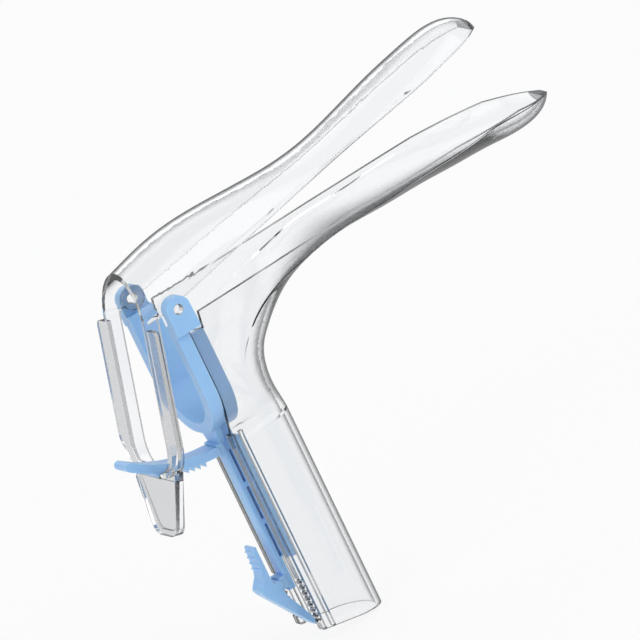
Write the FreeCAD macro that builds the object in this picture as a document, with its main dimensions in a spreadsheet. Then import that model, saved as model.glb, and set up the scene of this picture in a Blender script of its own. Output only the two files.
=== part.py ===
import FreeCAD, Part
import math
import os
import re
import Sketcher

# A clear two-bladed speculum with a blue sliding yoke.
# Built in the frame of its hinge: X forward along the blades, Y across, Z up the handle.
# The finished part has its origin at the end of the handle, in the middle of the front wall.

doc = FreeCAD.newDocument("bivalve_speculum")
sheet = doc.addObject("Spreadsheet::Sheet", "sizes")
vector = FreeCAD.Vector
aliases = []


def add_sizes(**values):
    for alias, value in values.items():
        aliases.append(alias)
        row = len(aliases)
        sheet.set("A%d" % row, alias.replace("_", " "))
        sheet.set("B%d" % row, str(value))
        sheet.setAlias("B%d" % row, alias)


# Millimetres and degrees
add_sizes(hinge_height=119.6, hinge_set_back=23.65, blade_tilt=9.6)
add_sizes(clear_wall=1.7, side_clearance=0.3, running_clearance=0.06)
add_sizes(boss_radius=1.6, ear_radius=4.1, ear_outer=19.0, ear_inner=15.0, lug_radius=3.5)
# Upper blade, across the hood and along the rim
add_sizes(hood_half_width=14.6, throat_half_width=13.9, waist_half_width=12.3, spoon_half_width=13.8)
add_sizes(hood_height=15.5, throat_height=15.4, waist_height=6.3, spoon_height=8.0)
add_sizes(throat_station=20, waist_station=68, spoon_station=108, upper_length=135)
add_sizes(upper_side=2.0, upper_tip_drop=1.7)
# Lever that hangs behind the hood
add_sizes(lever_angle=25.0, lever_set_back=11.27, lever_thickness=1.8, rail_depth=5.0)
add_sizes(flange_half_width=20.4, flange_length=37.5, window_half_width=12.7, window_length=46.8)
add_sizes(window_corner=9.0, tab_root_half_width=15.2, tab_root=45.5, tab_end=66.8)
add_sizes(tab_end_half_width=7.4, tab_corner=5.5, tab_rim_depth=3.0, pawl_radius=54.0)
# Lower blade and handle
add_sizes(lower_half_width=17.5, rim_drop=4.6, tip_drop=9.6, lower_length=145.7)
add_sizes(heel_depth=6.0, middle_depth=7.6, bowl_depth=9.8, heel_station=60, middle_station=86)
add_sizes(bowl_station=116, notch_depth=10.0, notch_front=6.3, wall_top=8.4, rear_face=0.7)
add_sizes(handle_front=24.6, handle_half_width=11.0, handle_rear_half_width=9.6, handle_end_slant=9.0)
add_sizes(lip_opening=6.0, lip_thickness=1.6, guide_gap=1.9, guide_rib=1.1, channel_top=47.0)
add_sizes(tooth_pitch=2.0, tooth_depth=0.7, tooth_count=8, tooth_top=98.0)
# Blue yoke
add_sizes(limb_inner=13.2, limb_front=5.9, yoke_rear=4.0, ring_end=44.0, ring_window_end=40.5)
add_sizes(ring_corner=15.5, limb_top=4.6, stem_half_width=2.8, stem_rear=1.0, stem_end=101.6)
add_sizes(neck_half_width=6.4, neck_end=52.0, shoe_half_width=7.5, shoe_end=91.0, slot_length=11.6, slot_pitch=13.3)
add_sizes(slot_top=52.5, slot_width=0.9)
# Toothed tongue
add_sizes(tongue_half_width=4.2, tongue_thickness=2.9, tongue_radius=52.3, tongue_end_angle=38.0)
add_sizes(ratchet_depth=1.4, ratchet_pitch=2.2, ratchet_start=9.0, ratchet_count=9)
add_sizes(tongue_hinge_back=3.6, tongue_hinge_drop=50.77, knuckle_radius=1.45)
# Latch at the foot of the stem
add_sizes(latch_half_width=3.0, latch_hinge_back=3.4, latch_hinge_drop=98.4)
add_sizes(tab_top=83.4, tab_front=5.2, foot_tip_drop=115.2, foot_reach=3.4, latch_knuckle=1.4)
doc.recompute()


def number(expression):
    return float(sheet.evalExpression(str(expression)))


def named(expression):
    return re.sub(r"[a-z_]+", lambda word: "sizes." * (word.group() in aliases) + word.group(), expression)


def add_body(label):
    body = doc.addObject("PartDesign::Body", label)
    body.Label = label
    body.setExpression("Placement.Base.x", named("-hinge_set_back"))
    body.setExpression("Placement.Base.z", named("hinge_height"))
    return body


def sketch_on(body, label, role, along="0", up="0", turn="0"):
    """A sketch on an origin plane, moved along the plane's normal and up, and turned about its X."""
    sketch = body.newObject("Sketcher::SketchObject", label)
    plane = next(item for item in body.Origin.OriginFeatures if item.Role == role)
    sketch.AttachmentSupport = [(plane, "")]
    sketch.MapMode = "FlatFace"
    place = FreeCAD.Placement(vector(0, number(up), number(along)),
                              FreeCAD.Rotation(vector(1, 0, 0), number(turn)))
    sketch.AttachmentOffset = place
    sketch.setExpression(".AttachmentOffset.Base.y", named(up))
    sketch.setExpression(".AttachmentOffset.Base.z", named(along))
    if turn != "0":
        sketch.setExpression(".AttachmentOffset.Rotation.Angle", named(turn))
    return sketch


def hold(sketch, kind, geometry, point, expression):
    axis = -2 if kind == "DistanceX" else -1
    value = number(expression)
    if abs(value) < 1e-9:
        sketch.addConstraint(Sketcher.Constraint("PointOnObject", geometry, point, axis))
        return
    index = sketch.addConstraint(Sketcher.Constraint(kind, -1, 1, geometry, point, value))
    sketch.setExpression("Constraints[%d]" % index, named(expression))


def outline(sketch, corners):
    """A closed outline. A corner is (across, along) or, where it is rounded, (across, along, radius)."""
    count = len(corners)
    spots = [vector(number(corner[0]), number(corner[1]), 0) for corner in corners]
    radii = [number(corner[2]) if len(corner) > 2 else 0 for corner in corners]
    arrive = []
    leave = []
    for index, spot in enumerate(spots):
        back = (spots[index - 1] - spot).normalize()
        ahead = (spots[(index + 1) % count] - spot).normalize()
        reach = radii[index] / math.tan(back.getAngle(ahead) / 2) if radii[index] else 0
        arrive.append(spot + back * reach)
        leave.append(spot + ahead * reach)
    first = sketch.GeometryCount
    for index in range(count):
        sketch.addGeometry(Part.LineSegment(leave[index], arrive[(index + 1) % count]), False)
    for index, corner in enumerate(corners):
        before, after = first + (index - 1) % count, first + index
        if not radii[index]:
            sketch.addConstraint(Sketcher.Constraint("Coincident", before, 2, after, 1))
            hold(sketch, "DistanceX", after, 1, corner[0])
            hold(sketch, "DistanceY", after, 1, corner[1])
            continue
        back = spots[index - 1] - spots[index]
        ahead = spots[(index + 1) % count] - spots[index]
        inward = (back.normalize() + ahead.normalize()).normalize()
        centre = spots[index] + inward * math.hypot(radii[index], (arrive[index] - spots[index]).Length)
        left_turn = back.cross(ahead).z < 0
        ends = [arrive[index], leave[index]] if left_turn else [leave[index], arrive[index]]
        start, finish = [math.atan2(end.y - centre.y, end.x - centre.x) for end in ends]
        circle = Part.Circle(centre, vector(0, 0, 1), radii[index])
        arc = sketch.addGeometry(Part.ArcOfCircle(circle, start, finish + 2 * math.pi * (finish < start)), False)
        point = sketch.addGeometry(Part.Point(spots[index]), True)
        near_end, far_end = (1, 2) if left_turn else (2, 1)
        sketch.addConstraint(Sketcher.Constraint("Tangent", before, 2, arc, near_end))
        sketch.addConstraint(Sketcher.Constraint("Tangent", arc, far_end, after, 1))
        sketch.addConstraint(Sketcher.Constraint("PointOnObject", point, 1, before))
        sketch.addConstraint(Sketcher.Constraint("PointOnObject", point, 1, after))
        hold(sketch, "DistanceX", point, 1, corner[0])
        hold(sketch, "DistanceY", point, 1, corner[1])
        radius = sketch.addConstraint(Sketcher.Constraint("Radius", arc, radii[index]))
        sketch.setExpression("Constraints[%d]" % radius, named(corner[2]))


def mirrored(half):
    """A half outline and its mirror image about the mid-plane."""
    return half + [("-(%s)" % corner[0],) + corner[1:] for corner in reversed(half)]


def disc(sketch, across, along, radius):
    centre = vector(number(across), number(along), 0)
    index = sketch.addGeometry(Part.Circle(centre, vector(0, 0, 1), number(radius)), False)
    hold(sketch, "DistanceX", index, 3, across)
    hold(sketch, "DistanceY", index, 3, along)
    constraint = sketch.addConstraint(Sketcher.Constraint("Radius", index, number(radius)))
    sketch.setExpression("Constraints[%d]" % constraint, named(radius))


def extrude(body, kind, sketch, label, length, both_ways=False, reverse=False):
    feature = body.newObject("PartDesign::" + kind, label)
    feature.Profile = sketch
    feature.setExpression("Length", named(length))
    feature.SideType = "Symmetric" if both_ways else "One side"
    feature.Reversed = reverse
    before = body.Shape.Volume if not body.Shape.isNull() else 0
    doc.recompute()
    if not feature.isValid() or abs(body.Shape.Volume - before) < 0.01:
        raise RuntimeError("nothing changed: " + body.Label + " " + label)
    return feature


def trough_section(body, label, along, up, turn, open_half, shoulder_half, opening, shoulder, apex):
    """Two side lines and an arc, in a plane that holds the Y axis."""
    sketch = sketch_on(body, label, "YZ_Plane", along, up, turn)
    sagitta = "abs((%s)-(%s))" % (apex, shoulder)
    radius = "((%s)^2+(%s)^2)/(2*(%s))" % (shoulder_half, sagitta, sagitta)
    w_open, w_shoulder = number(open_half), number(shoulder_half)
    y_open, y_shoulder, y_apex = number(opening), number(shoulder), number(apex)
    rise = 1 if y_apex > y_shoulder else -1
    arc_radius = number(radius)
    centre = vector(0, y_apex - rise * arc_radius, 0)
    side_angle = math.atan2(y_shoulder - centre.y, w_shoulder)
    angles = (side_angle, math.pi - side_angle) if rise > 0 else (-math.pi - side_angle, side_angle)
    right = [vector(w_open, y_open, 0), vector(w_shoulder, y_shoulder, 0)]
    left = [vector(-spot.x, spot.y, 0) for spot in right]
    sketch.addGeometry(Part.LineSegment(right[0], right[1]), False)
    sketch.addGeometry(Part.ArcOfCircle(Part.Circle(centre, vector(0, 0, 1), arc_radius), *angles), False)
    sketch.addGeometry(Part.LineSegment(left[1], left[0]), False)
    sketch.addGeometry(Part.LineSegment(left[0], right[0]), False)
    start, finish = (1, 2) if rise > 0 else (2, 1)
    joins = [(0, 2, 1, start), (1, finish, 2, 1), (2, 2, 3, 1), (3, 2, 0, 1)]
    for join in joins:
        sketch.addConstraint(Sketcher.Constraint("Coincident", *join))
    hold(sketch, "DistanceX", 0, 1, open_half)
    hold(sketch, "DistanceY", 0, 1, opening)
    hold(sketch, "DistanceX", 0, 2, shoulder_half)
    hold(sketch, "DistanceY", 0, 2, shoulder)
    sketch.addConstraint(Sketcher.Constraint("Symmetric", 0, 1, 2, 2, -2))
    sketch.addConstraint(Sketcher.Constraint("Symmetric", 0, 2, 2, 1, -2))
    index = sketch.addConstraint(Sketcher.Constraint("Radius", 1, arc_radius))
    sketch.setExpression("Constraints[%d]" % index, named(radius))
    return sketch


def loft(body, kind, label, sections):
    feature = body.newObject("PartDesign::" + kind, label)
    feature.Profile = sections[0]
    feature.Sections = [(section, [""]) for section in sections[1:]]
    doc.recompute()
    if not feature.isValid():
        raise RuntimeError("loft failed: " + body.Label + " " + label)
    return feature


# Upper blade: a hood that narrows to a shallow spoon, with its rim on the hinge axis

upper = add_body("upper_blade")
upper.Placement.Rotation = FreeCAD.Rotation(vector(0, -1, 0), number("blade_tilt"))
upper.setExpression("Placement.Rotation.Angle", named("blade_tilt"))


def upper_sections(prefix, wall, rim):
    # name, station, half width, crown height, rim height
    stations = [
        ("rear", "-14", "hood_half_width", "hood_height", "0"),
        ("hinge", "0", "(hood_half_width*2+throat_half_width)/3", "hood_height", "0"),
        ("throat", "throat_station", "throat_half_width", "throat_height", "0"),
        ("slope", "(throat_station*2+waist_station)/3", "(throat_half_width*2+waist_half_width)/3",
         "(throat_height*2+waist_height)/3", "0"),
        ("fall", "(throat_station+waist_station*3)/4", "(throat_half_width+waist_half_width*3)/4",
         "(throat_height+waist_height*5)/6", "0"),
        ("waist", "waist_station", "waist_half_width", "waist_height", "0"),
        ("spoon_heel", "(waist_station+spoon_station*2)/3", "(waist_half_width+spoon_half_width*3)/4",
         "(waist_height+spoon_height*2)/3", "0"),
        ("spoon", "spoon_station", "spoon_half_width", "spoon_height", "0"),
        ("spoon_front", "upper_length-16", "spoon_half_width-1.2", "spoon_height+0.1", "0"),
        ("tip_heel", "upper_length-7", "spoon_half_width-4", "spoon_height-1.3", "-upper_tip_drop/4"),
        ("tip_front", "upper_length-2.5", "spoon_half_width-7.4", "spoon_height-4", "-upper_tip_drop/2"),
        ("tip", "upper_length", "spoon_half_width-11", "spoon_height-7.2", "-upper_tip_drop"),
    ]
    if wall != "0":
        stations = stations[:-1]
    sections = []
    for name, station, half, height, low in stations:
        shoulder = "%s+upper_side*(%s)/hood_height" % (low, height)
        opening = "%s-(%s)" % (low, rim)
        sections.append(trough_section(upper, prefix + name, station, "0", "0",
                                       "%s-%s" % (half, wall), "%s-%s" % (half, wall),
                                       opening, shoulder, "%s-%s" % (height, wall)))
    return sections


loft(upper, "AdditiveLoft", "hood_and_spoon", upper_sections("outer_", "0", "0"))
lug_sketch = sketch_on(upper, "lug_outline", "XZ_Plane")
disc(lug_sketch, "0", "0", "lug_radius")
extrude(upper, "Pad", lug_sketch, "lugs", "2*(ear_inner-side_clearance)", both_ways=True)
boss_sketch = sketch_on(upper, "boss_outline", "XZ_Plane")
disc(boss_sketch, "0", "0", "boss_radius")
extrude(upper, "Pad", boss_sketch, "bosses", "2*ear_outer", both_ways=True)
loft(upper, "SubtractiveLoft", "hollow", upper_sections("inner_", "clear_wall", "6"))

# Everything behind the lever's plane is open
rear_sketch = sketch_on(upper, "rear_cut_outline", "YZ_Plane", "-lever_set_back", "0", "lever_angle")
outline(rear_sketch, mirrored([("40", "40"), ("40", "-30")]))
extrude(upper, "Pocket", rear_sketch, "rear_cut", "30")


def lever_sketch(label):
    return sketch_on(upper, label, "YZ_Plane", "-lever_set_back", "0", "lever_angle")


rail_sketch = lever_sketch("rail_outline")
outline(rail_sketch, mirrored([("window_half_width+clear_wall", "3"),
                               ("window_half_width+clear_wall", "-window_length-clear_wall",
                                "window_corner+clear_wall")]))
extrude(upper, "Pad", rail_sketch, "rails", "rail_depth")
plate_sketch = lever_sketch("plate_outline")
outline(plate_sketch, mirrored([("flange_half_width", "0", "lever_thickness"),
                                ("flange_half_width", "-flange_length", "tab_corner"),
                                ("tab_root_half_width", "-tab_root", "tab_corner"),
                                ("tab_end_half_width", "-tab_end", "tab_corner")]))
extrude(upper, "Pad", plate_sketch, "plate", "lever_thickness")
tab_sketch = lever_sketch("tab_rim_outline")
outline(tab_sketch, mirrored([("tab_root_half_width", "-tab_root"),
                              ("tab_end_half_width", "-tab_end", "tab_corner")]))
inset = "-clear_wall"
outline(tab_sketch, mirrored([("tab_root_half_width" + inset, "-window_length-clear_wall"),
                              ("tab_end_half_width" + inset, "-tab_end+clear_wall", "tab_corner" + inset)]))
extrude(upper, "Pad", tab_sketch, "tab_rim", "tab_rim_depth")
window_sketch = lever_sketch("window_outline")
outline(window_sketch, mirrored([("window_half_width", "3.5"),
                                 ("window_half_width", "-window_length", "window_corner")]))
extrude(upper, "Pocket", window_sketch, "window", "rail_depth+1", reverse=True)


# Notch whose upper edge runs on the toothed tongue
pawl_sketch = sketch_on(upper, "pawl_outline", "XZ_Plane")
pawl_angles = ["35.5", "31.5", "27.5", "23.5", "19.5", "16"]
pawl_edge = [("-pawl_radius*sin(%s)" % angle, "-pawl_radius*cos(%s)" % angle) for angle in pawl_angles]
outline(pawl_sketch, pawl_edge + [("-pawl_radius*sin(16)", "-pawl_radius*cos(40)"),
                                  ("-pawl_radius*sin(35.5)", "-pawl_radius*cos(40)")])
extrude(upper, "Pocket", pawl_sketch, "pawl_notch", "2*(tongue_half_width+0.5)", both_ways=True)


# Lower blade and handle: one trough that bends from the handle into the blade

lower = add_body("lower_blade")


# name, nose X, nose Z, turn, half width at the opening and at the shoulder, shoulder, opening
trough_stations = [
    ("grip_top", "handle_front", "-channel_top-3", "-90", "handle_rear_half_width",
     "handle_half_width", "11.5", "27"),
    ("bowl", "handle_front-0.8", "-channel_top+4", "-85", "lower_half_width-3",
     "handle_half_width+1", "10.5", "28"),
    ("bowl_top", "handle_front-1", "-channel_top+10", "-78", "lower_half_width+0.1",
     "lower_half_width-1.2", "13.5", "29"),
    ("bend_low", "handle_front+0.6", "-channel_top+16.5", "-66", "lower_half_width+0.1",
     "lower_half_width-0.8", "12.5", "32"),
    ("bend", "handle_front+4.6", "-channel_top+21.8", "-48", "lower_half_width+0.1",
     "lower_half_width-0.7", "11", "36"),
    ("bend_high", "handle_front+12", "-channel_top+28.3", "-32", "lower_half_width",
     "lower_half_width-1", "8", "24"),
    ("blade_root", "handle_front+20.5", "-channel_top+33.2", "-20", "lower_half_width",
     "lower_half_width-1.6", "4.6", "15"),
    ("heel", "heel_station", "-rim_drop-heel_depth", "-6", "lower_half_width",
     "lower_half_width-0.6", "heel_depth-2.4", "heel_depth+5"),
    ("middle", "(heel_station+bowl_station)/2-9", "-rim_drop-heel_depth-1", "-3", "lower_half_width",
     "lower_half_width-0.5", "heel_depth-1.3", "heel_depth+6"),
    ("shallow", "(heel_station+bowl_station)/2+5", "-rim_drop-middle_depth", "-3", "lower_half_width",
     "lower_half_width-0.5", "middle_depth-1.8", "middle_depth+5"),
    ("bowl_start", "bowl_station-9", "-rim_drop-middle_depth-1", "-3", "lower_half_width-0.3",
     "lower_half_width-0.8", "middle_depth-0.8", "middle_depth+6"),
    ("bowl_end", "bowl_station+3", "-rim_drop-bowl_depth+0.4", "-2", "lower_half_width-1",
     "lower_half_width-1.4", "bowl_depth-1.7", "bowl_depth+4"),
    ("tip_heel", "lower_length-16", "-rim_drop-bowl_depth-0.7", "0", "lower_half_width-3.2",
     "lower_half_width-3.5", "bowl_depth-1.6", "bowl_depth+3"),
    ("tip_bowl", "lower_length-8", "-tip_drop-bowl_depth+4.7", "0", "lower_half_width-6.4",
     "lower_half_width-6.6", "bowl_depth-3", "bowl_depth+1"),
    ("tip_front", "lower_length-3", "-tip_drop-bowl_depth+6.4", "0", "lower_half_width-10.3",
     "lower_half_width-10.5", "bowl_depth-5.2", "bowl_depth-2"),
    ("tip", "lower_length", "-tip_drop-1", "0", "lower_half_width-14.3",
     "lower_half_width-14.4", "2", "5"),
]


def lower_section(prefix, station, wall, rim):
    name, nose, drop, turn, open_half, shoulder_half, shoulder, opening = station
    return trough_section(lower, prefix + name, nose, drop, turn,
                          "%s-%s" % (open_half, wall), "%s-%s" % (shoulder_half, wall),
                          "%s+%s" % (opening, rim), shoulder, wall)


def lower_solid(kind, prefix, wall, rim):
    grip = ("foot", "handle_front", "-hinge_height-6", "-90", "handle_rear_half_width",
            "handle_half_width", "11.5", "27")
    extrude(lower, "Pad" if kind == "Additive" else "Pocket", lower_section(prefix, grip, wall, rim),
            prefix + "grip", "hinge_height-channel_top+3", reverse=kind == "Subtractive")
    stations = trough_stations if kind == "Additive" else trough_stations[:-1]
    loft(lower, kind + "Loft", prefix + "trough",
         [lower_section(prefix, one, wall, rim) for one in stations])


lower_solid("Additive", "outer_", "0", "0")
lower_solid("Subtractive", "inner_", "clear_wall", "1")

# The rim, the notches under the ears and the open back of the handle, in side view
side_sketch = sketch_on(lower, "side_outline", "XZ_Plane")
outline(side_sketch, [("rear_face", "-hinge_height-20"), ("rear_face", "-wall_top"),
                      ("notch_front-0.8", "-notch_depth"), ("notch_front", "-rim_drop"),
                      ("bowl_station-10", "-rim_drop"), ("lower_length-15", "-rim_drop-1.6"),
                      ("lower_length+3", "-tip_drop-0.4"), ("lower_length+3", "40"),
                      ("-60", "40"), ("-60", "-hinge_height-20")])
extrude(lower, "Pocket", side_sketch, "open_side", "80", both_ways=True)

lip_sketch = sketch_on(lower, "lip_outline", "XY_Plane", "-channel_top")
for side in ("", "-"):
    outline(lip_sketch, [("rear_face", side + "lip_opening"),
                         ("rear_face", side + "(handle_rear_half_width-0.4)"),
                         ("rear_face+lip_thickness", side + "(handle_rear_half_width-0.4)"),
                         ("rear_face+lip_thickness", side + "lip_opening")])
extrude(lower, "Pad", lip_sketch, "guide_lips", "hinge_height-channel_top+6", reverse=True)
rib_sketch = sketch_on(lower, "rib_outline", "XY_Plane", "-channel_top")
for side in ("", "-"):
    outline(rib_sketch, [("rear_face+lip_thickness+guide_gap", side + "(lip_opening+0.7)"),
                         ("rear_face+lip_thickness+guide_gap", side + "(handle_rear_half_width-0.4)"),
                         ("rear_face+lip_thickness+guide_gap+guide_rib",
                          side + "(handle_rear_half_width-0.4)"),
                         ("rear_face+lip_thickness+guide_gap+guide_rib", side + "(lip_opening+0.7)")])
extrude(lower, "Pad", rib_sketch, "guide_ribs", "hinge_height-channel_top+6", reverse=True)

tooth_sketch = sketch_on(lower, "tooth_outline", "XZ_Plane")
for index in range(int(number("tooth_count"))):
    top = "-tooth_top-tooth_pitch*%d" % index
    outline(tooth_sketch, [("rear_face-0.2", top), ("rear_face+tooth_depth", top + "-tooth_pitch*0.15"),
                           ("rear_face-0.2", top + "-tooth_pitch*0.85")])
extrude(lower, "Pocket", tooth_sketch, "ratchet_teeth", "40", both_ways=True)

end_sketch = sketch_on(lower, "end_cut_outline", "XZ_Plane")
outline(end_sketch, [("hinge_set_back-30", "-hinge_height+30*tan(handle_end_slant)"),
                     ("hinge_set_back+10", "-hinge_height-10*tan(handle_end_slant)"),
                     ("hinge_set_back+10", "-hinge_height-20"), ("hinge_set_back-30", "-hinge_height-20")])
extrude(lower, "Pocket", end_sketch, "end_cut", "60", both_ways=True)


# Yoke: two ears, a ring that straddles the walls, and a stem that slides in the handle

yoke = add_body("yoke")
ring_sketch = sketch_on(yoke, "ring_outline", "YZ_Plane", "rear_face-side_clearance")
outline(ring_sketch, mirrored([("lower_half_width", "-limb_top"),
                               ("lower_half_width", "-ring_end", "ring_corner")]))
extrude(yoke, "Pad", ring_sketch, "ring", "yoke_rear+rear_face-side_clearance", reverse=True)


limb_sketch = sketch_on(yoke, "limb_outline", "YZ_Plane", "rear_face-side_clearance-0.4")
limb_half = "lower_half_width-clear_wall-side_clearance-0.5"
outline(limb_sketch, mirrored([(limb_half, "-notch_depth-0.2"),
                               (limb_half, "-ring_end-0.4", "ring_corner-0.7")]))
extrude(yoke, "Pad", limb_sketch, "limbs", "limb_front-rear_face+side_clearance+0.4")

ear_sketch = sketch_on(yoke, "ear_outline", "XZ_Plane")
outline(ear_sketch, [("-yoke_rear", "-wall_top+side_clearance"),
                     ("ear_radius+0.5", "-wall_top+side_clearance"),
                     ("ear_radius", "ear_radius", "ear_radius-0.2"),
                     ("-yoke_rear", "ear_radius", "ear_radius-0.2")])
extrude(yoke, "Pad", ear_sketch, "ears", "2*ear_outer", both_ways=True)
gap_sketch = sketch_on(yoke, "ear_gap_outline", "XZ_Plane")
outline(gap_sketch, [("-yoke_rear-5", "-limb_top"), ("limb_front+5", "-limb_top"),
                     ("limb_front+5", "ear_radius+5"), ("-yoke_rear-5", "ear_radius+5")])
extrude(yoke, "Pocket", gap_sketch, "ear_gap", "2*ear_inner", both_ways=True)
ear_hole_sketch = sketch_on(yoke, "ear_hole_outline", "XZ_Plane")
disc(ear_hole_sketch, "0", "0", "boss_radius+running_clearance")
extrude(yoke, "Pocket", ear_hole_sketch, "ear_holes", "2*ear_outer+2", both_ways=True)
opening_sketch = sketch_on(yoke, "opening_outline", "YZ_Plane", "-yoke_rear-1")
outline(opening_sketch, mirrored([("limb_inner", "ear_radius"),
                                  ("limb_inner", "-ring_window_end", "limb_inner-1")]))
extrude(yoke, "Pocket", opening_sketch, "opening", "yoke_rear+limb_front+2", reverse=True)

stem_front = "rear_face+lip_thickness+guide_gap-0.2"
stem_sketch = sketch_on(yoke, "stem_outline", "XY_Plane", "-ring_window_end-1.5")
outline(stem_sketch, [("-stem_rear", "-stem_half_width", "0.8"), (stem_front, "-stem_half_width"),
                      (stem_front, "stem_half_width"), ("-stem_rear", "stem_half_width", "0.8")])
extrude(yoke, "Pad", stem_sketch, "stem", "stem_end-ring_window_end-1.5", reverse=True)
shoe_sketch = sketch_on(yoke, "shoe_outline", "XY_Plane", "-channel_top-1")
outline(shoe_sketch, [("rear_face+lip_thickness+0.2", "-shoe_half_width"), (stem_front, "-shoe_half_width"),
                      (stem_front, "shoe_half_width"), ("rear_face+lip_thickness+0.2", "shoe_half_width")])
extrude(yoke, "Pad", shoe_sketch, "shoe", "shoe_end-channel_top-1", reverse=True)
neck_sketch = sketch_on(yoke, "neck_outline", "YZ_Plane", "-stem_rear-0.6")
outline(neck_sketch, mirrored([("neck_half_width", "-ring_window_end-2"),
                               ("stem_half_width", "-neck_end", "6")]))
extrude(yoke, "Pad", neck_sketch, "neck", "stem_rear+rear_face-side_clearance+0.6")
foot_sketch = sketch_on(yoke, "stem_foot_outline", "XZ_Plane")
outline(foot_sketch, [("rear_face+0.5", "-shoe_end"), (stem_front + "+1", "-shoe_end"),
                      (stem_front + "+1", "-stem_end-1"), ("rear_face+0.5", "-stem_end-1")])
extrude(yoke, "Pocket", foot_sketch, "stem_foot", "2*shoe_half_width+2", both_ways=True)
slot_sketch = sketch_on(yoke, "slot_outline", "XZ_Plane")
for index in range(3):
    top = "-slot_top-slot_pitch*%d" % index
    outline(slot_sketch, [("rear_face", top), ("rear_face+slot_width", top),
                          ("rear_face+slot_width", top + "-slot_length"), ("rear_face", top + "-slot_length")])
extrude(yoke, "Pocket", slot_sketch, "slots", "2*stem_half_width+2", both_ways=True)


def socket(label, back, drop, radius, half_width, set_back):
    """A short seat on the back of the stem that holds a flexing arm's round root."""
    seat = sketch_on(yoke, label + "_seat_outline", "XZ_Plane")
    outline(seat, [("-stem_rear+0.5", "-%s-%s-0.6" % (drop, radius)),
                   ("-stem_rear+0.5", "-%s+%s+0.6" % (drop, radius)),
                   ("-%s+%s" % (back, set_back), "-%s+%s+0.6" % (drop, radius)),
                   ("-%s+%s" % (back, set_back), "-%s-%s-0.6" % (drop, radius))])
    extrude(yoke, "Pad", seat, label + "_seat", "2*(%s)" % half_width, both_ways=True)
    bore = sketch_on(yoke, label + "_bore_outline", "XZ_Plane")
    disc(bore, "-" + back, "-" + drop, radius + "+running_clearance")
    extrude(yoke, "Pocket", bore, label + "_bore", "2*(%s)+2" % half_width, both_ways=True)


socket("tongue", "tongue_hinge_back", "tongue_hinge_drop", "knuckle_radius", "tongue_half_width", "0.7")
socket("latch", "latch_hinge_back", "latch_hinge_drop", "latch_knuckle", "latch_half_width", "0.5")


# Toothed tongue: concentric with the hinge, so that the lever's pawl edge follows its underside

tongue = add_body("ratchet_tongue")
inner_radius = "tongue_radius-tongue_thickness"
middle_radius = "(tongue_radius-tongue_thickness/2)"
root_angle = "atan(tongue_hinge_back/tongue_hinge_drop)"


def arc_band(sketch, inner, outer, first_angle, last_angle):
    """A band about the hinge, from one angle to another, counted back from straight down."""
    radii = [inner, outer]
    for radius in radii:
        size = number(radius)
        start, finish = [math.radians(-90 - number(angle)) for angle in (last_angle, first_angle)]
        circle = Part.Circle(vector(0, 0, 0), vector(0, 0, 1), size)
        arc = sketch.addGeometry(Part.ArcOfCircle(circle, start, finish), False)
        sketch.addConstraint(Sketcher.Constraint("Coincident", arc, 3, -1, 1))
        index = sketch.addConstraint(Sketcher.Constraint("Radius", arc, size))
        sketch.setExpression("Constraints[%d]" % index, named(radius))
    for end, angle in ((1, last_angle), (2, first_angle)):
        spots = [vector(-number(radius) * math.sin(math.radians(number(angle))),
                        -number(radius) * math.cos(math.radians(number(angle))), 0) for radius in radii]
        line = sketch.addGeometry(Part.LineSegment(*spots), False)
        sketch.addConstraint(Sketcher.Constraint("Coincident", line, 1, line - 2 - (end == 2), end))
        sketch.addConstraint(Sketcher.Constraint("Coincident", line, 2, line - 1 - (end == 2), end))
        for point, radius in enumerate(radii):
            hold(sketch, "DistanceX", line, point + 1, "-(%s)*sin(%s)" % (radius, angle))


band_sketch = sketch_on(tongue, "band_outline", "XZ_Plane")
arc_band(band_sketch, inner_radius, "tongue_radius", root_angle, "tongue_end_angle")
extrude(tongue, "Pad", band_sketch, "band", "2*tongue_half_width", both_ways=True)
ends_sketch = sketch_on(tongue, "ends_outline", "XZ_Plane")
disc(ends_sketch, "-tongue_hinge_back", "-tongue_hinge_drop", "knuckle_radius")
disc(ends_sketch, "-%s*sin(tongue_end_angle)" % middle_radius,
     "-%s*cos(tongue_end_angle)" % middle_radius, "tongue_thickness/2")
extrude(tongue, "Pad", ends_sketch, "ends", "2*tongue_half_width", both_ways=True)
ratchet_sketch = sketch_on(tongue, "ratchet_outline", "XZ_Plane")


def about_hinge(radius, angle):
    return "-(%s)*sin(%s)" % (radius, angle), "-(%s)*cos(%s)" % (radius, angle)


for index in range(int(number("ratchet_count"))):
    heel = "(ratchet_start+ratchet_pitch*%d)" % index
    outline(ratchet_sketch, [about_hinge("tongue_radius-0.3", heel),
                             about_hinge("tongue_radius+ratchet_depth", heel + "+ratchet_pitch*0.1"),
                             about_hinge("tongue_radius-0.3", heel + "+ratchet_pitch*0.9")])
extrude(tongue, "Pad", ratchet_sketch, "ratchet", "2*tongue_half_width", both_ways=True)


# Latch: a ribbed thumb tab above its root and a long foot below it

latch = add_body("slide_latch")
latch_sketch = sketch_on(latch, "latch_outline", "XZ_Plane")
outline(latch_sketch, [("-tab_front", "-tab_top", "0.5"), ("-tab_front-1.2", "-tab_top-0.3", "0.6"),
                       ("-tab_front-1.8", "-tab_top-8.4", "2"), ("-tab_front-2.5", "-tab_top-10.4", "2"),
                       ("-tab_front-5", "-tab_top-13.6", "1.2"), ("-tab_front-4.2", "-tab_top-15.6", "1.5"),
                       ("foot_reach-1.6", "-foot_tip_drop-0.3", "0.5"), ("foot_reach", "-foot_tip_drop+0.9", "0.4"),
                       ("foot_reach-0.9", "-foot_tip_drop+1.5", "0.4"),
                       ("-latch_hinge_back+1", "-latch_hinge_drop-4.6", "1.2"),
                       ("-latch_hinge_back-0.2", "-latch_hinge_drop+1.2"), ("-tab_front", "-latch_hinge_drop+1.2")])
extrude(latch, "Pad", latch_sketch, "lever", "2*latch_half_width", both_ways=True)
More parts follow.
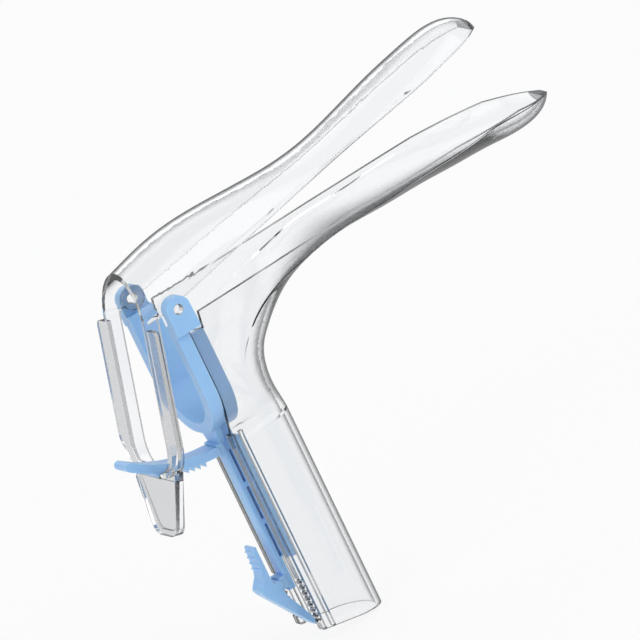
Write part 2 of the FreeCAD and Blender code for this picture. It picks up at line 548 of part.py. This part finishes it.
root_sketch = sketch_on(latch, "root_outline", "XZ_Plane")
disc(root_sketch, "-latch_hinge_back", "-latch_hinge_drop", "latch_knuckle")
extrude(latch, "Pad", root_sketch, "root", "2*latch_half_width", both_ways=True)
rib_sketch = sketch_on(latch, "thumb_rib_outline", "XZ_Plane")
for index in range(4):
    top = "-tab_top-1.4-%d*1.9" % index
    edge = "-tab_front-1.1-%d*0.15" % index
    outline(rib_sketch, [(edge + "+0.3", top), (edge + "-0.8", top + "-0.5"), (edge + "+0.3", top + "-1.2")])
extrude(latch, "Pad", rib_sketch, "thumb_ribs", "2*latch_half_width", both_ways=True)

doc.recompute()
bodies = [upper, lower, yoke, tongue, latch]
for item in doc.Objects:
    if "Invalid" in item.State or "Error" in item.State:
        raise RuntimeError("failed: " + item.Label)
os.makedirs("parts", exist_ok=True)
for body in bodies:
    shape = body.Shape
    if shape.isNull() or not shape.isValid() or len(shape.Solids) != 1 or shape.Volume < 1:
        raise RuntimeError("bad shape: " + body.Label)
    shape.exportStep("parts/" + body.Label + ".step")
    print(body.Label, "volume %.0f" % shape.Volume)
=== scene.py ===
import bpy
from mathutils import Matrix, Vector


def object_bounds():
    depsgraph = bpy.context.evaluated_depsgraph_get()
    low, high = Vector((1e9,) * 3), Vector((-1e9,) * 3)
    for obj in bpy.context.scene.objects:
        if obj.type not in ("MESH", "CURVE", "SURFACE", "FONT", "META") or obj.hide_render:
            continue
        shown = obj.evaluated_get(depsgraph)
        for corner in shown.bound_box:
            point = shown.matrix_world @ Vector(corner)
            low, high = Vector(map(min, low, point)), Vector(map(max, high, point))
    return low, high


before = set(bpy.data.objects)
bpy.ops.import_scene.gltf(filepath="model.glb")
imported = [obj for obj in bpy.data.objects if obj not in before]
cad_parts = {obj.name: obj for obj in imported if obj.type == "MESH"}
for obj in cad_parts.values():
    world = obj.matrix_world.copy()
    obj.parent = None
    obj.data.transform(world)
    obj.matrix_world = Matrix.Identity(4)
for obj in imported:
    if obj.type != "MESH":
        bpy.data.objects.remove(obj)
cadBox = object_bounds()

print("frame loaded")


# A socket that adds its own Math nodes, so that shader maths reads as plain expressions
class Value:
    def __init__(self, nodes, socket):
        self.nodes = nodes
        self.socket = socket

    def maths(self, operation, first, second, clamp=False):
        return self.nodes.add("ShaderNodeMath", {"operation": operation, "use_clamp": clamp},
                              {0: first, 1: second})

    def __add__(self, other): return self.maths("ADD", self, other)
    def __radd__(self, other): return self.maths("ADD", other, self)
    def __sub__(self, other): return self.maths("SUBTRACT", self, other)
    def __rsub__(self, other): return self.maths("SUBTRACT", other, self)
    def __mul__(self, other): return self.maths("MULTIPLY", self, other)
    def __rmul__(self, other): return self.maths("MULTIPLY", other, self)
    def __rmul__(self, other): return self.maths("MULTIPLY", other, self)
    def __pow__(self, other): return self.maths("POWER", self, other)
    def clamped(self): return self.maths("ADD", self, 0.0, clamp=True)


# The nodes of one material, or of the world
class Nodes:
    def __init__(self, owner):
        self.owner = owner
        self.tree = owner.node_tree
        self.tree.nodes.clear()

    def add(self, kind, settings=None, values=None, output=0):
        node = self.tree.nodes.new(kind)
        for name, value in (settings or {}).items():
            setattr(node, name, value)
        for name, value in (values or {}).items():
            if isinstance(value, Value):
                self.tree.links.new(value.socket, node.inputs[name])
            else:
                node.inputs[name].default_value = value
        return Value(self, node.outputs[output]) if node.outputs else None

    def mixColour(self, factor, first, second):
        return self.add("ShaderNodeMix", {"data_type": "RGBA"}, {0: factor, 6: first, 7: second}, 2)

    def noise(self, place, scale, detail):
        return self.add("ShaderNodeTexNoise", {}, {"Vector": place, "Scale": scale, "Detail": detail})

    def bump(self, height, strength, distance):
        return self.add("ShaderNodeBump", {}, {"Height": height, "Strength": strength, "Distance": distance})

    def finish(self, shader, output="ShaderNodeOutputMaterial"):
        self.add(output, {}, {"Surface": shader})
        return self.owner


def newMaterial(name):
    material = bpy.data.materials.new(name)
    material.use_nodes = True
    return Nodes(material)


# Clear polished styrene
clearPlastic = {
    "face": (0.93, 0.938, 0.948, 1),
    # painted shade: grey that the clear walls darken towards where they turn away from the camera, in place
    # of the dark lines refraction gives
    "edge": (0.06, 0.07, 0.08, 1),
    "roughness": 0.03,
    "roughnessSwing": 0.03,
    "flowScale": 60.0,
    "flowDetail": 2.0,
    "flowStrength": 0.25,
    "flowDepth": 0.00012,
    "index": 1.42,
    "facingBlend": 0.5,
    # painted shade: colour and settings of the dark line mixed in at the rims of the clear walls
    "rim": (0.03, 0.033, 0.037, 1),
    "rimRoughness": 0.25,
    "rimIndex": 1.2,
    "rimStart": 0.52,
    "rimGain": 3.2,
    "rimPower": 1.5,
    "rimStrength": 1.0,
    "edgeStart": 0.40,
    "edgeGain": 2.4,
    "edgePower": 1.3,
}


def makeClear():
    look = clearPlastic
    nodes = newMaterial("clearStyrene")
    place = nodes.add("ShaderNodeTexCoord", output=3)
    facing = nodes.add("ShaderNodeLayerWeight", {}, {"Blend": look["facingBlend"]}, 1)
    flow = nodes.noise(place, look["flowScale"], look["flowDetail"])
    # Painted shade: the base colour darkens towards a near-black grey at grazing angles, standing in for the
    # dark refraction lines of the clear walls
    edge = ((facing - look["edgeStart"]) * look["edgeGain"]).clamped() ** look["edgePower"]
    colour = nodes.mixColour(edge, look["face"], look["edge"])
    roughness = look["roughness"] + flow * look["roughnessSwing"]
    shader = nodes.add("ShaderNodeBsdfPrincipled", {}, {
        "Base Color": colour, "Roughness": roughness, "IOR": look["index"],
        "Transmission Weight": 1.0,
        "Normal": nodes.bump(flow, look["flowStrength"], look["flowDepth"])})
    # Painted shade: the rim of a clear wall, seen side on, turns the light away and reads as a grey line, so
    # a dark shader is mixed in there by a facing mask
    rimShader = nodes.add("ShaderNodeBsdfPrincipled", {}, {
        "Base Color": look["rim"], "Roughness": look["rimRoughness"], "IOR": look["rimIndex"]})
    rimMask = ((facing - look["rimStart"]) * look["rimGain"]).clamped() ** look["rimPower"]
    both = nodes.add("ShaderNodeMixShader", {}, {0: rimMask * look["rimStrength"], 1: shader, 2: rimShader})
    return nodes.finish(both)


# Light-blue moulded polypropylene
bluePlastic = {
    "body": (0.28, 0.53, 0.88, 1),
    "pale": (0.35, 0.60, 0.92, 1),
    "roughness": 0.33,
    "roughnessSwing": 0.1,
    "index": 1.49,
    "cloudScale": 45.0,
    "cloudDetail": 3.0,
    "grainScale": 1400.0,
    "grainDetail": 2.0,
    "grainStrength": 0.12,
    "grainDepth": 0.00004,
    "scatter": 0.25,
    "scatterRadius": (0.3, 0.6, 1.0),
    "scatterScale": 0.003,
    "coat": 0.15,
    "coatRoughness": 0.15,
}


def makeBlue():
    look = bluePlastic
    nodes = newMaterial("bluePolypropylene")
    place = nodes.add("ShaderNodeTexCoord", output=3)
    cloud = nodes.noise(place, look["cloudScale"], look["cloudDetail"])
    grain = nodes.noise(place, look["grainScale"], look["grainDetail"])
    colour = nodes.mixColour(cloud, look["body"], look["pale"])
    roughness = look["roughness"] + grain * look["roughnessSwing"]
    shader = nodes.add("ShaderNodeBsdfPrincipled", {}, {
        "Base Color": colour, "Roughness": roughness, "IOR": look["index"],
        "Subsurface Weight": look["scatter"], "Subsurface Radius": look["scatterRadius"],
        "Subsurface Scale": look["scatterScale"],
        "Coat Weight": look["coat"], "Coat Roughness": look["coatRoughness"],
        "Normal": nodes.bump(grain, look["grainStrength"], look["grainDepth"])})
    return nodes.finish(shader)


def dress(nodeName, material):
    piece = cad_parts[nodeName]
    if not piece.data.materials:
        piece.data.materials.append(material)
    for slot in piece.material_slots:
        slot.material = material


clearMaterial = makeClear()
blueMaterial = makeBlue()
for nodeName in ("lower_blade", "upper_blade"):
    dress(nodeName, clearMaterial)
for nodeName in ("yoke", "ratchet_tongue", "slide_latch"):
    dress(nodeName, blueMaterial)
print("materials set")


# Floor and light, with the place, size and power of each lamp
studio = {
    "floorHalf": 3.0,
    "white": (1.0, 1.0, 1.0, 1),
    "floorColour": (0.9, 0.9, 0.9, 1),
    "floorGlow": 0.84,
    "ambient": (0.86, 0.88, 0.90, 1),
    "ambientStrength": 0.55,
    "lamps": [((0.9, -1.3, 1.3), 2.2, 17.0), ((-1.3, -0.5, 0.9), 1.8, 9.0), ((0.3, 1.3, 1.2), 1.8, 8.0)],
    "target": (0.02, 0.0, 0.08),
}


def makeFloor():
    nodes = newMaterial("paleFloor")
    paths = nodes.add("ShaderNodeLightPath").socket.node.outputs
    seen = Value(nodes, paths["Is Camera Ray"]) + Value(nodes, paths["Is Glossy Ray"])
    seen = (seen + Value(nodes, paths["Is Transmission Ray"])).clamped()
    floor = nodes.add("ShaderNodeBsdfDiffuse", {}, {"Color": studio["floorColour"]})
    glow = nodes.add("ShaderNodeEmission", {}, {"Color": studio["white"], "Strength": 1.0})
    both = nodes.add("ShaderNodeMixShader", {}, {0: seen * studio["floorGlow"], 1: floor, 2: glow})
    return nodes.finish(both)


half = studio["floorHalf"]
base = cadBox[0][2]
floorMesh = bpy.data.meshes.new("floor")
floorMesh.from_pydata([(-half, -half, base), (half, -half, base), (half, half, base), (-half, half, base)],
                      [], [(0, 1, 2, 3)])
floorMesh.materials.append(makeFloor())
floor = bpy.data.objects.new("floor", floorMesh)
bpy.context.scene.collection.objects.link(floor)

# The sky lights the part softly, and the camera and clear walls see plain white
world = bpy.data.worlds.new("studio")
bpy.context.scene.world = world
world.use_nodes = True
sky = Nodes(world)
rays = sky.add("ShaderNodeLightPath").socket.node.outputs
seenWhite = (Value(sky, rays["Is Camera Ray"]) + Value(sky, rays["Is Transmission Ray"])).clamped()
ambient = sky.add("ShaderNodeBackground", {},
                  {"Color": studio["ambient"], "Strength": studio["ambientStrength"]})
white = sky.add("ShaderNodeBackground", {}, {"Color": studio["white"], "Strength": 1.0})
sky.finish(sky.add("ShaderNodeMixShader", {}, {0: seenWhite, 1: ambient, 2: white}), "ShaderNodeOutputWorld")

target = Vector(studio["target"])
for number, (place, size, power) in enumerate(studio["lamps"]):
    lamp = bpy.data.lights.new("lamp%d" % number, "AREA")
    lamp.size = size
    lamp.energy = power
    holder = bpy.data.objects.new("lamp%d" % number, lamp)
    holder.location = place
    holder.rotation_euler = (target - Vector(place)).to_track_quat("-Z", "Y").to_euler()
    bpy.context.scene.collection.objects.link(holder)
print("floor and lamps set")


# Camera at the photograph's angle, turned about its own axis as the object is in the frame
view = {
    "right": (0.798, -0.436, -0.415),
    "up": (0.502, 0.102, 0.858),
    "centre": (0.0150, -0.0231, 0.0937),
    "distance": 2.0,
    "width": 0.1963,
    "clip": (0.01, 20),
}
right = Vector(view["right"]).normalized()
forward = Vector(view["up"]).cross(right).normalized()
up = right.cross(forward)
camera = bpy.data.cameras.new("camera")
camera.type = "ORTHO"
camera.ortho_scale = view["width"]
camera.clip_start, camera.clip_end = view["clip"]
cameraHolder = bpy.data.objects.new("camera", camera)
turn = Matrix((right, up, -forward)).transposed()
standPoint = Vector(view["centre"]) - forward * view["distance"]
cameraHolder.matrix_world = Matrix.Translation(standPoint) @ turn.to_4x4()
bpy.context.scene.collection.objects.link(cameraHolder)
bpy.context.scene.camera = cameraHolder
bpy.context.scene.view_settings.view_transform = "Standard"
print("camera set")
